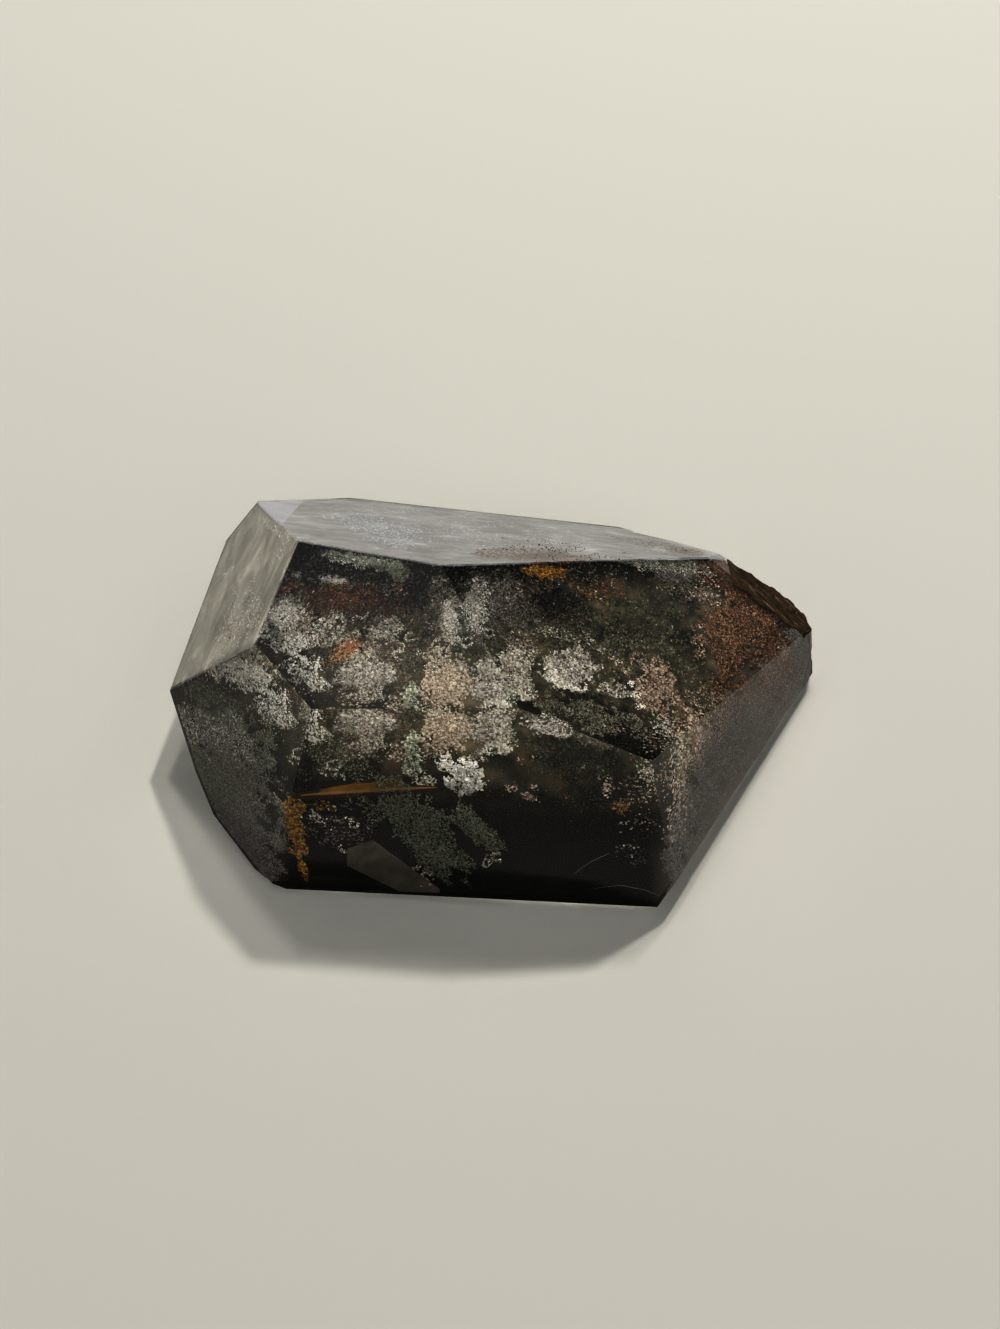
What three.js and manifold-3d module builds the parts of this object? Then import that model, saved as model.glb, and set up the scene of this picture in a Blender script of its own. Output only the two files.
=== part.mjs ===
import * as THREE from "three";
import { mergeVertices } from "three/addons/utils/BufferGeometryUtils.js";
import Module from "manifold-3d";

// Lodolite (garden quartz) freeform: a clear stone with large ground and polished facets, and
// in it the garden, the mass of minerals that the crystal grew over.
// Lengths in millimetres, angles in degrees. Z is up, X is the stone's long way, and the
// front of the stone looks along -Y.

const ROUGH_BLOCK = { length: 100, depth: 80, height: 60 };
const GRINDER_SIZE = 160;

// A facet is one flat ground on the stone.
// turn: the way it faces, 0 to the front, 90 to the right end, 180 to the back
// tilt: how far it faces up, negative where it undercuts
// reach: its distance from the heart of the stone
const TOP_FACETS = {
  leftTable: { turn: -28.5, tilt: 81.5, reach: 17.7 },
  rightTable: { turn: 104.5, tilt: 65.5, reach: 13.1 },
  backSlope: { turn: 169, tilt: 51.5, reach: 13.4 },
  leftShoulder: { turn: -98, tilt: 40, reach: 30.8 },
};

const SIDE_FACETS = {
  front: { turn: -3.5, tilt: 19, reach: 22.8 },
  frontLeft: { turn: -49.5, tilt: 22.5, reach: 31.8 },
  frontRight: { turn: 58.5, tilt: 20.5, reach: 28.4 },
  rightEnd: { turn: 95, tilt: 5, reach: 43.2 },
  backRight: { turn: 150, tilt: 15.5, reach: 30 },
  back: { turn: 179.5, tilt: -12, reach: 29.5 },
  backLeft: { turn: -151.5, tilt: 5, reach: 36.2 },
  backLeftCorner: { turn: -150.5, tilt: 2, reach: 36.5 },
};

const UNDERCUTS = {
  left: { turn: -104.5, tilt: -20, reach: 40.2 },
  leftMiddle: { turn: -96, tilt: -30, reach: 39.2 },
  leftLow: { turn: -90, tilt: -38, reach: 38.5 },
  frontLeftLow: { turn: -55, tilt: -40, reach: 40.1 },
  frontCorner: { turn: -34, tilt: -40, reach: 38.5 },
  frontFoot: { turn: -3, tilt: -35, reach: 31.8 },
  frontRightFoot: { turn: 56.5, tilt: -12, reach: 35.7 },
  smallCorner: { turn: 30, tilt: 7, reach: 34.4 },
  foot: { turn: 0, tilt: -90, reach: 14.7 },
};

// The back of the right end kept the natural skin of the crystal.
const NATURAL_SKIN = {
  slope: { turn: 120, tilt: 55, reach: 18.9 },
  backEdge: { turn: 144.5, tilt: -5, reach: 35.8 },
  endEdge: { turn: 128.5, tilt: -5, reach: 41.2 },
};

// A flake is a shallow shell-shaped scar struck off an edge.
// at: the point on the edge, from the heart of the stone
// turn, tilt: the way the blow came from; bite: its depth
const SKIN_FLAKES = [
  { at: [33.3, 17.8, -3.4], turn: 138, tilt: 26, radius: 6.5, bite: 0.3 },
  { at: [36.9, 16.2, -5], turn: 142, tilt: 22, radius: 5.2, bite: 0.3 },
  { at: [40.1, 14.8, -6.5], turn: 136, tilt: 24, radius: 4.6, bite: 0.3 },
  { at: [42, 12.7, -6.8], turn: 126, tilt: 20, radius: 4.2, bite: 0.26 },
  { at: [43.3, 9.7, -6.6], turn: 112, tilt: 32, radius: 4.8, bite: 0.22 },
  { at: [43.7, 6.6, -9.2], turn: 84, tilt: 6, radius: 3.6, bite: 0.16 },
];

const EDGE_FLAKES = [
  { at: [-43.3, -5.9, -5.6], turn: -80, tilt: -8, radius: 4.2, bite: 0.22 },
  { at: [-41.7, -9.9, -8.9], turn: -78, tilt: -10, radius: 4.6, bite: 0.24 },
  { at: [-39.4, -14.9, -12.3], turn: -72, tilt: -12, radius: 4, bite: 0.18 },
  { at: [-34.9, -21.1, -14.1], turn: -54, tilt: -14, radius: 4.4, bite: 0.16 },
  { at: [-30.4, -26.2, -13.9], turn: -34, tilt: -10, radius: 3, bite: 0.16 },
];

const FLAKE_ROUNDNESS = 3;

// The garden is a hill that ends in a steep bank at the front and at both front corners. Its
// underside is ground flush with the foot.
// quartzOver: the least thickness of clear quartz over it
const GARDEN = {
  plateau: 17,
  rightFall: 0.11,
  bankDrop: 10.4,
  bankWidth: 6.5,
  quartzOver: 1.5,
};

// The foot of the bank, as upright planes at their distances from the middle of the ground
const BANK_FOOT = {
  front: { turn: -9, tilt: 0, reach: 14.6 },
  frontLeft: { turn: -49.5, tilt: 0, reach: 25 },
  frontRight: { turn: 58.5, tilt: 0, reach: 29.5 },
};

// The garden's mounds and hollows. at: the place on the ground; spread: the radius
const MOUNDS = [
  { at: [-4.5, -12.5], rise: 2.4, spread: 5 },
  { at: [-7, -8.5], rise: 1, spread: 5 },
  { at: [5.5, -12.5], rise: 2.2, spread: 7 },
  { at: [7, -6.5], rise: 1.1, spread: 5 },
  { at: [18.8, -7.5], rise: 1.5, spread: 5 },
  { at: [14, -12], rise: 2, spread: 6 },
  { at: [-19.5, -4], rise: 1.3, spread: 6 },
  { at: [-22, 1], rise: 0.8, spread: 6 },
  { at: [-15.5, -7.5], rise: 0.9, spread: 5 },
  { at: [-29, 3], rise: -1.4, spread: 8 },
  { at: [-12, 5], rise: -1.2, spread: 9 },
  { at: [0, -1], rise: 0.6, spread: 6 },
  { at: [4.5, 10], rise: -1, spread: 8 },
  { at: [15, 5], rise: -0.9, spread: 8 },
  { at: [24, 12], rise: 0.7, spread: 7 },
  { at: [29, -3], rise: 0.6, spread: 7 },
];

const GARDEN_FOOT = { underside: { turn: 0, tilt: -90, reach: 0 } };

const GARDEN_GRID = { length: 84, depth: 56, columns: 38, rows: 25, bottom: -2 };

// The width of the seam that is left between the garden and the quartz around it
const SEAM = 0.3;

const CLEAR_QUARTZ = {
  color: 0x59665a,
  roughness: 0.05,
  metalness: 0,
  flatShading: true,
  transparent: true,
  opacity: 0.35,
};
const GARDEN_MINERALS = { color: 0x8a8170, roughness: 0.9, metalness: 0, flatShading: true };

const wasm = await Module();
wasm.setup();

function solidFrom(geometry) {
  geometry.deleteAttribute("normal");
  geometry.deleteAttribute("uv");
  const welded = mergeVertices(geometry, 1e-5);
  const mesh = new wasm.Mesh({
    numProp: 3,
    vertProperties: new Float32Array(welded.attributes.position.array),
    triVerts: new Uint32Array(welded.index.array),
  });
  return new wasm.Manifold(mesh);
}

function geometryFrom(solid) {
  const mesh = solid.getMesh();
  const geometry = new THREE.BufferGeometry();
  geometry.setAttribute("position", new THREE.BufferAttribute(mesh.vertProperties, 3));
  geometry.setIndex(new THREE.BufferAttribute(mesh.triVerts, 1));
  return geometry;
}

function facing(turn, tilt) {
  const across = THREE.MathUtils.degToRad(turn);
  const upward = THREE.MathUtils.degToRad(tilt);
  return new THREE.Vector3(
    Math.sin(across) * Math.cos(upward),
    -Math.cos(across) * Math.cos(upward),
    Math.sin(upward),
  );
}

// The grinder is a large block whose near side lies in the plane of the facet.
function grinder({ turn, tilt, reach }) {
  const outward = facing(turn, tilt);
  const block = new THREE.BoxGeometry(GRINDER_SIZE, GRINDER_SIZE, GRINDER_SIZE);
  block.translate(0, 0, GRINDER_SIZE / 2);
  block.applyQuaternion(new THREE.Quaternion().setFromUnitVectors(new THREE.Vector3(0, 0, 1), outward));
  block.translate(...outward.multiplyScalar(reach).toArray());
  return solidFrom(block);
}

function flakeScar({ at, turn, tilt, radius, bite }) {
  const centre = new THREE.Vector3(...at).addScaledVector(facing(turn, tilt), radius - bite);
  const ball = new THREE.IcosahedronGeometry(radius, FLAKE_ROUNDNESS);
  ball.translate(centre.x, centre.y, centre.z);
  return solidFrom(ball);
}

function grind(stone, facets) {
  return Object.values(facets).reduce((left, facet) => left.subtract(grinder(facet)), stone);
}

function chip(stone, flakes) {
  return flakes.reduce((left, flake) => left.subtract(flakeScar(flake)), stone);
}

function roughBlock() {
  const { length, depth, height } = ROUGH_BLOCK;
  return solidFrom(new THREE.BoxGeometry(length, depth, height));
}

function makeStone() {
  let stone = roughBlock();
  for (const facets of [TOP_FACETS, SIDE_FACETS, UNDERCUTS, NATURAL_SKIN]) {
    stone = grind(stone, facets);
  }
  for (const flakes of [SKIN_FLAKES, EDGE_FLAKES]) {
    stone = chip(stone, flakes);
  }
  return stone;
}

// The move that sets the stone down with its foot on the ground and its middle over the origin.
function setDownMove(stone) {
  const { min, max } = stone.boundingBox();
  return [-(min[0] + max[0]) / 2, -(min[1] + max[1]) / 2, -min[2]];
}

// Facets moved in by a margin, or out where it is negative.
function movedIn(facets, margin) {
  const moved = Object.entries(facets).map(([name, facet]) => [name, { ...facet, reach: facet.reach - margin }]);
  return Object.fromEntries(moved);
}

// The room inside the stone that lies a margin behind all facets but the foot.
function roomInside(margin) {
  const { foot, ...undercuts } = UNDERCUTS;
  let room = roughBlock();
  for (const facets of [TOP_FACETS, SIDE_FACETS, undercuts, NATURAL_SKIN]) {
    room = grind(room, movedIn(facets, margin));
  }
  return room;
}

function mound(x, y, { at, rise, spread }) {
  const share = ((x - at[0]) ** 2 + (y - at[1]) ** 2) / spread ** 2;
  return rise * Math.max(0, 1 - share) ** 2;
}

function behindBankFoot(x, y) {
  const distances = Object.values(BANK_FOOT).map(({ turn, tilt, reach }) => {
    const outward = facing(turn, tilt);
    return reach - x * outward.x - y * outward.y;
  });
  return Math.min(...distances);
}

function gardenHeight(x, y) {
  const { plateau, rightFall, bankDrop, bankWidth } = GARDEN;
  const towardsFoot = THREE.MathUtils.clamp(1 - behindBankFoot(x, y) / bankWidth, 0, 1);
  const level = plateau - rightFall * Math.max(0, x) - bankDrop * towardsFoot ** 2.5;
  return MOUNDS.reduce((height, each) => height + mound(x, y, each), level);
}

// How much longer the garden's slope is at a place than the ground under it.
function steepness(x, y) {
  const step = 0.1;
  const alongX = (gardenHeight(x + step, y) - gardenHeight(x - step, y)) / (2 * step);
  const alongY = (gardenHeight(x, y + step) - gardenHeight(x, y - step)) / (2 * step);
  return Math.hypot(1, alongX, alongY);
}

// The hill as a block whose upper side is raised to the garden's height, grown all round.
function hill(growth) {
  const { length, depth, columns, rows, bottom } = GARDEN_GRID;
  const block = new THREE.BoxGeometry(length, depth, 1, columns, rows, 1);
  const points = block.attributes.position;
  for (let i = 0; i < points.count; i += 1) {
    const x = points.getX(i);
    const y = points.getY(i);
    const upper = points.getZ(i) > 0;
    points.setZ(i, upper ? gardenHeight(x, y) + growth * steepness(x, y) : bottom);
  }
  const banked = grind(solidFrom(block), movedIn(BANK_FOOT, -growth));
  return grind(banked, movedIn(GARDEN_FOOT, -growth));
}

// The garden, or with a growth the pocket that it fills in the quartz.
function gardenForm(growth, setDown) {
  const room = roomInside(GARDEN.quartzOver - growth).translate(setDown);
  return hill(growth).intersect(room);
}

const blank = makeStone();
const setDown = setDownMove(blank);
const garden = gardenForm(0, setDown);
const quartz = blank.translate(setDown).subtract(gardenForm(SEAM, setDown));

function node(name, solid, finish) {
  const mesh = new THREE.Mesh(geometryFrom(solid), new THREE.MeshStandardMaterial(finish));
  mesh.name = name;
  return mesh;
}

const freeform = new THREE.Group();
freeform.name = "lodolite_freeform";
freeform.add(node("quartz_stone", quartz, CLEAR_QUARTZ));
freeform.add(node("mineral_garden", garden, GARDEN_MINERALS));

export default freeform;
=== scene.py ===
import math

import bmesh
import bpy
import numpy as np
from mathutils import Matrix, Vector
from mathutils.bvhtree import BVHTree


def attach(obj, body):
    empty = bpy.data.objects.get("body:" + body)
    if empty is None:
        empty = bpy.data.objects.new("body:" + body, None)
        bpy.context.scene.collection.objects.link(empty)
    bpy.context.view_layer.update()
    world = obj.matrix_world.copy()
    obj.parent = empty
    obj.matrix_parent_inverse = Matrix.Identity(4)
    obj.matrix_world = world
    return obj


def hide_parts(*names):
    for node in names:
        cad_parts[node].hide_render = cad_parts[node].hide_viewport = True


# Lengths in metres, angles in degrees, unless a name says otherwise.
MM = 0.001

# The camera, and the frame of the photograph that pixel places are read in. The focal length is
# in pixels, and the sensor in millimetres.
CAMERA_PLACE = Vector((-0.00018, -0.11511, 0.17681))
CAMERA_DOWN = 55
SENSOR = 36
PHOTO_WIDTH, PHOTO_HEIGHT = 1000, 1329
PHOTO_FOCAL = 1500
NEAREST_SEEN = 10 * MM

# Quartz, and how much the minerals inside it shine
QUARTZ_IOR = 1.544
QUARTZ_TINT = (0.80, 0.84, 0.76, 1)
QUARTZ_ABSORPTION = 18
INNER_SHINE = 0.03

# The least area of a facet, and the least lean of its normal to a side that it is turned to
LEAST_FACET = 8e-6
TURNED_TO_SIDE = 0.05

# The bed of the garden: the dark ground that all grains sit on. It has the CAD garden's form,
# with a low sheet around the hill. Its lumps are given by size and share.
BED_LUMPS = ((9 * MM, 1), (3.6 * MM, 0.6), (1.4 * MM, 0.25))
HILL_ROUGHNESS = 1 * MM
HILL_FOOT = 3 * MM
GRIT_SIZE, GRIT_HEIGHT = 0.7 * MM, 0.16 * MM
GRIT_FROM, GRIT_FULL = 9 * MM, 13 * MM
ROOF_GAP = 2.2 * MM
WALL_GAP = 1 * MM
SHEET_HEIGHT = 1.7 * MM
FLOOR_GAP = 0.5 * MM
LEAST_BED_HEIGHT, LEAST_BED_DEPTH = 0.3 * MM, 0.5 * MM
BED_LEFT, BED_RIGHT = -37 * MM, 41 * MM
FRONT_EDGE_LEVEL, BACK_EDGE_LEVEL = 1.5 * MM, 6 * MM
BED_COLUMNS, BED_ROWS = 210, 120
BED_COLOURS = ["1d1d16", "2b2921", "3d392e", "504536"]

# The colours of the low ground from left to right, and where they change along its length. The
# near-black middle is painted shade for the dark low front of the garden; the ends are dark grey.
LOW_GROUND_COLOURS_AND_SHADE = ["4a4641", "040403", "040403", "57514a"]
LOW_GROUND_STEPS = (0.1, 0.16, 0.74, 0.8)
LOW_GROUND_LEFT, LOW_GROUND_RIGHT = -40 * MM, 40 * MM
LOW_GROUND_TOP, HILL_COLOUR_FROM = 6 * MM, 12 * MM

# Grids over the ground: columns and rows for the hill, half reach and spacing in mm for the bed.
# Heights are looked up from above, and sight lines followed in steps.
HILL_COLUMNS, HILL_ROWS = 184, 124
MAP_REACH_X, MAP_REACH_Y, MAP_SPACING = 44, 30, 0.2
OVER_ALL = 0.1
RAY_STEP = 0.1 * MM
RAY_STEPS = 420

# How far grains keep behind the facets, clouds at the most, and how far mist keeps behind the
# tables, through which it would be seen again
GRAIN_MARGIN = 0.6 * MM
CLOUD_MARGIN = 0.4 * MM
MIST_GAP = 1 * MM

# Grains for each pixel of half length times half width, in clusters and in clouds of the usual
# largest radius in mm, and for each pixel along a curl. Then the height of a layer.
CLUSTER_DENSITY = 1.7
CLOUD_DENSITY = 1.5
CURL_DENSITY = 2.2
USUAL_GRAIN = 0.2
GRAIN_LAYER = 0.25 * MM

# The facets that a place in the photograph is seen through, each by one pixel on it
SEEN_THROUGH = {
    "left table": (390, 640),
    "right table": (620, 650),
    "back slope": (450, 540),
    "left shoulder": (230, 600),
    "front": (450, 800),
    "front left": (230, 760),
    "front right": (730, 750),
    "natural skin": (772, 592),
}

# Grain kinds: colours from the darkest to the lightest, and the least and largest radius in mm
GRAIN_KINDS = {
    "white": (["6a665c", "938e82", "b4aea2", "d6d1c7"], 0.12, 0.26),
    "snow": (["858279", "aba79e", "ccc8c0", "eeebe5"], 0.12, 0.26),
    "grey": (["4c4942", "746f66", "979287", "bcb7ac"], 0.12, 0.24),
    "cream": (["5e5447", "827667", "a19484", "c4b9a9"], 0.12, 0.25),
    "pink": (["52463c", "746558", "928272", "b4a595"], 0.12, 0.22),
    "pale_green": (["53544a", "7a7b6a", "9c9d8c", "c1c1b3"], 0.12, 0.25),
    "mist": (["858c92", "a0a7ad", "babfc4", "d6d9db"], 0.08, 0.14),
    "shade": (["3a3d30", "4f5243", "646757", "7d7f6c"], 0.08, 0.15),
    "fog": (["84837a", "9f9d93", "b7b4aa", "cfccc2"], 0.07, 0.14),
    "haze": (["41443b", "5a5d50", "727565", "8d907c"], 0.07, 0.13),
    "dusk": (["3f3c39", "53504c", "68655f", "7f7c75"], 0.08, 0.15),
    "thread": (["6f6b5f", "999486", "bdb8ab", "dedacf"], 0.07, 0.14),
    "taupe": (["322e27", "4a443b", "625b4f", "80786a"], 0.12, 0.24),
    "olive": (["29281d", "3a3829", "4c4a38", "64614b"], 0.11, 0.22),
    "moss": (["1a1e17", "282d23", "373d31", "4a5042"], 0.11, 0.22),
    "brown": (["2a1d15", "40291d", "573c2c", "765843"], 0.11, 0.22),
    # Near-black grains of painted shade, set in the dark hollows of the garden
    "pit": (["0d0c0a", "171512", "221f1a", "332e27"], 0.14, 0.26),
    "rust": (["30251b", "4a3829", "66503b", "917b62"], 0.11, 0.2),
    "stain": (["1a0e0a", "281611", "352119", "432f25"], 0.05, 0.1),
    "orange": (["523623", "775336", "95714f", "ba9979"], 0.12, 0.24),
    "gold": (["3c2a0e", "5f4418", "82602c", "a98a4e"], 0.11, 0.21),
    "violet": (["13100f", "262020", "3f3738", "6f6762"], 0.12, 0.24),
    # Bright rainbow-coloured flecks: a painted glint of iridescent flakes
    "flash": (["e8e4d6", "c7d2e0", "dfe3ae", "e2c2d2"], 0.1, 0.2),
}

# How wide the dark gaps through the clusters are, from 0 for none
CREVICE = 0.06

# Clusters of grains that the photograph shows, by the facet they are seen through:
# pixel column and row, half length and half width in pixels, turn, kind, cover, which is about 1
# where the bed is hidden, and the height of its middle in grain layers where that is more than 1
# The near-black hollow clusters below are painted shade.
CLUSTERS = {
    "left table": [
        (370, 630, 120, 80, 8, "taupe", 0.7), (350, 640, 100, 70, 8, "brown", 0.3),
        (350, 640, 100, 70, 8, "olive", 0.2), (370, 672, 90, 34, 0, "taupe", 0.8),
        (300, 556, 20, 16, -20, "moss", 1.2), (350, 568, 60, 12, 8, "moss", 1),
        (320, 557, 18, 6, -10, "white", 0.8), (345, 556, 22, 8, 5, "pale_green", 1.2),
        (372, 561, 26, 10, 8, "snow", 0.8), (378, 563, 22, 9, 8, "pale_green", 0.6),
        (398, 570, 12, 10, 30, "pale_green", 1), (335, 580, 22, 5, 10, "snow", 0.8),
        (298, 575, 8, 5, 40, "white", 0.7), (284, 584, 10, 6, -10, "rust", 1),
        (352, 598, 52, 22, -4, "brown", 1.5), (350, 600, 46, 18, -4, "rust", 0.35),
        (384, 606, 30, 16, -8, "brown", 1.2), (388, 580, 12, 14, 15, "rust", 0.8),
        (425, 588, 18, 28, 8, "pit", 0.8), (425, 588, 18, 28, 8, "moss", 0.8),
        (415, 630, 16, 16, 0, "olive", 1), (282, 612, 28, 20, -30, "white", 0.8, 2),
        (278, 616, 30, 22, -30, "grey", 1, 2), (272, 638, 18, 14, -20, "white", 0.4, 2),
        (300, 628, 20, 14, -30, "cream", 0.8, 2), (330, 628, 32, 18, -32, "white", 0.3, 2),
        (330, 630, 30, 18, -32, "grey", 0.8, 2), (336, 612, 22, 5, -32, "rust", 0.4, 2),
        (350, 637, 22, 7, -26, "cream", 0.9, 2), (344, 651, 21, 10, -24, "orange", 1.1, 2),
        (322, 658, 12, 12, 0, "pit", 1), (294, 668, 20, 12, 10, "violet", 1.3),
        (288, 662, 14, 5, -20, "white", 0.6, 2), (296, 682, 12, 10, 0, "grey", 0.7, 2),
        (314, 684, 12, 11, 0, "white", 0.6, 2), (306, 690, 20, 10, 20, "grey", 0.7),
        (320, 700, 16, 6, 10, "moss", 1), (342, 698, 14, 8, 0, "taupe", 1),
        (366, 678, 34, 30, 0, "grey", 1.3, 2), (368, 670, 30, 26, 0, "white", 0.3, 2),
        (386, 628, 24, 14, -10, "grey", 1.1, 2), (384, 630, 20, 10, -20, "white", 0.5, 2),
        (366, 650, 18, 10, -20, "cream", 0.7, 2), (355, 690, 8, 6, 0, "moss", 0.8, 2),
        (398, 702, 14, 7, 0, "cream", 0.7, 2), (410, 692, 13, 11, 0, "pale_green", 1.1, 2),
        (410, 668, 14, 16, 60, "moss", 1.2), (425, 652, 20, 6, -10, "pale_green", 0.5),
        (446, 688, 32, 26, 0, "cream", 0.9, 3), (440, 690, 22, 22, 0, "pink", 0.5, 3),
        (450, 616, 13, 30, -4, "grey", 1.3, 2), (448, 612, 10, 26, -4, "cream", 0.4, 2),
        (450, 616, 12, 28, -4, "white", 0.7, 2), (489, 667, 15, 16, 0, "white", 0.5, 2),
        (477, 692, 22, 10, -8, "grey", 1, 2), (470, 652, 26, 9, 0, "olive", 0.8),
        (500, 690, 18, 10, 0, "grey", 0.8, 2),
    ],
    "right table": [
        (600, 640, 130, 66, 12, "olive", 0.8), (620, 640, 130, 66, 12, "taupe", 0.25),
        (760, 615, 50, 40, 40, "brown", 0.9), (490, 590, 36, 24, 10, "taupe", 1.2),
        (492, 592, 34, 22, 10, "grey", 1), (472, 612, 14, 18, 0, "grey", 1),
        (512, 600, 22, 22, 0, "brown", 0.8), (506, 582, 20, 10, -20, "rust", 0.6),
        (558, 606, 30, 20, 10, "pit", 1.8), (600, 586, 40, 14, 8, "brown", 1.2),
        (640, 574, 24, 9, 0, "pit", 1.2), (546, 568, 22, 7, 0, "gold", 1.2, 2),
        (542, 580, 16, 5, -15, "gold", 0.5), (592, 596, 24, 7, 28, "gold", 0.6),
        (480, 660, 16, 12, 0, "grey", 0.6), (518, 640, 22, 12, 0, "pink", 0.6),
        (520, 654, 26, 14, -10, "grey", 0.7), (490, 664, 16, 15, 0, "grey", 0.6),
        (524, 690, 20, 15, 20, "pale_green", 0.8, 2), (550, 694, 12, 12, 20, "olive", 1),
        (560, 634, 32, 7, 14, "grey", 0.7), (590, 640, 22, 8, 40, "grey", 0.6),
        (570, 669, 33, 27, 0, "grey", 1.1, 3), (569, 666, 24, 18, 0, "white", 0.3, 3),
        (616, 690, 20, 10, 15, "grey", 0.9, 2), (624, 668, 28, 5, 35, "cream", 0.5),
        # The rainbow flecks among these clusters are a painted glint.
        (656, 686, 26, 32, -20, "pink", 0.85, 3), (637, 694, 8, 6, 10, "flash", 0.7, 2),
        (631, 684, 4, 6, -30, "flash", 0.6, 2), (641, 706, 6, 4, 0, "flash", 0.6, 2),
        (645, 662, 24, 9, 20, "pink", 0.6), (629, 613, 14, 7, 0, "olive", 1.2, 2),
        (640, 620, 60, 34, 0, "moss", 0.7), (640, 645, 40, 12, 10, "taupe", 0.5),
        (600, 725, 50, 22, 20, "moss", 0.7), (640, 561, 26, 4, 0, "grey", 0.9),
        (690, 568, 30, 8, 12, "grey", 0.9), (676, 584, 24, 10, 10, "taupe", 0.8),
        (712, 600, 26, 10, 20, "taupe", 0.8), (712, 600, 26, 10, 20, "grey", 0.3),
        (732, 576, 46, 22, 28, "brown", 1), (740, 572, 34, 14, 34, "rust", 0.7),
        (712, 585, 30, 14, 20, "pink", 0.3), (748, 640, 60, 52, 25, "rust", 1.6, 2),
        (748, 640, 60, 52, 25, "brown", 0.8), (722, 688, 24, 18, 30, "rust", 0.9, 2),
        (772, 624, 26, 14, 40, "gold", 0.12, 2), (752, 606, 34, 10, 36, "gold", 0.1, 2),
        (700, 640, 12, 30, 0, "pink", 0.6), (700, 700, 22, 17, -20, "olive", 1),
        (660, 722, 20, 10, 20, "pale_green", 0.6), (674, 738, 16, 18, 0, "pale_green", 0.65),
        (618, 722, 6, 4, 0, "grey", 0.7),
    ],
    "back slope": [
        (470, 545, 220, 20, 4, "grey", 0.8), (520, 556, 50, 8, 0, "rust", 0.8),
        (686, 552, 22, 6, 10, "rust", 0.9),
    ],
    "left shoulder": [
        (235, 600, 110, 50, -62, "grey", 0.6), (246, 618, 28, 18, -60, "white", 1.2, 2),
        (262, 575, 10, 5, -40, "white", 0.8),
    ],
    "front": [
        (365, 722, 38, 16, 0, "grey", 1.1, 2), (315, 712, 14, 10, 0, "violet", 1.2),
        (362, 750, 30, 12, 10, "cream", 0.6), (396, 752, 18, 12, 0, "cream", 0.8),
        (413, 760, 17, 22, 0, "pale_green", 1, 2), (424, 782, 18, 9, 0, "white", 0.9, 2),
        (465, 776, 24, 21, 0, "snow", 1.3, 4), (446, 764, 12, 12, 0, "snow", 0.9, 3),
        (444, 728, 28, 26, 0, "cream", 0.9, 3), (496, 728, 22, 24, 0, "grey", 1.2, 3),
        (498, 748, 17, 11, -15, "white", 0.9, 3), (478, 756, 16, 8, 0, "grey", 0.8, 2),
        (546, 726, 30, 9, 20, "white", 1.5, 3), (546, 727, 26, 8, 20, "snow", 0.8, 3),
        (580, 752, 50, 13, 14, "pit", 1.6), (600, 778, 40, 12, 0, "pit", 0.8),
        (524, 762, 12, 5, 0, "pink", 0.6), (560, 774, 30, 12, 0, "olive", 0.7),
        (540, 757, 10, 5, 0, "cream", 0.7), (582, 768, 8, 4, 0, "grey", 0.8),
        (654, 768, 8, 8, 0, "grey", 0.8, 2), (642, 776, 10, 6, 0, "grey", 0.3),
        (512, 788, 11, 5, 10, "pink", 0.9, 2), (528, 796, 15, 4, 24, "pink", 0.8, 2),
        (536, 786, 6, 7, 0, "cream", 0.5), (600, 778, 6, 10, 0, "cream", 0.4),
        (340, 822, 44, 26, 0, "violet", 0.8), (330, 820, 36, 20, 10, "white", 0.15),
        (350, 806, 30, 8, 0, "rust", 0.5), (630, 852, 26, 22, 0, "violet", 0.25),
    ],
    "front left": [
        (235, 770, 60, 50, 30, "taupe", 0.5), (255, 770, 34, 30, 40, "violet", 0.8),
        (248, 676, 38, 19, 24, "grey", 0.6, 2), (248, 676, 36, 18, 24, "snow", 1.1, 2),
        (275, 704, 26, 22, 40, "snow", 0.9, 2), (292, 696, 10, 10, 0, "rust", 0.7, 2),
        (195, 700, 8, 20, 10, "cream", 0.5), (288, 722, 12, 8, 0, "white", 0.8, 2),
        (245, 722, 40, 18, 20, "moss", 1.2),
    ],
    "front right": [
        (674, 800, 16, 50, 8, "grey", 0.35), (684, 760, 20, 40, 35, "pink", 0.9),
        (712, 725, 30, 20, -42, "pink", 0.9), (742, 695, 24, 10, -42, "brown", 0.6),
        (775, 662, 22, 6, -42, "brown", 0.5),
    ],
}

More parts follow.
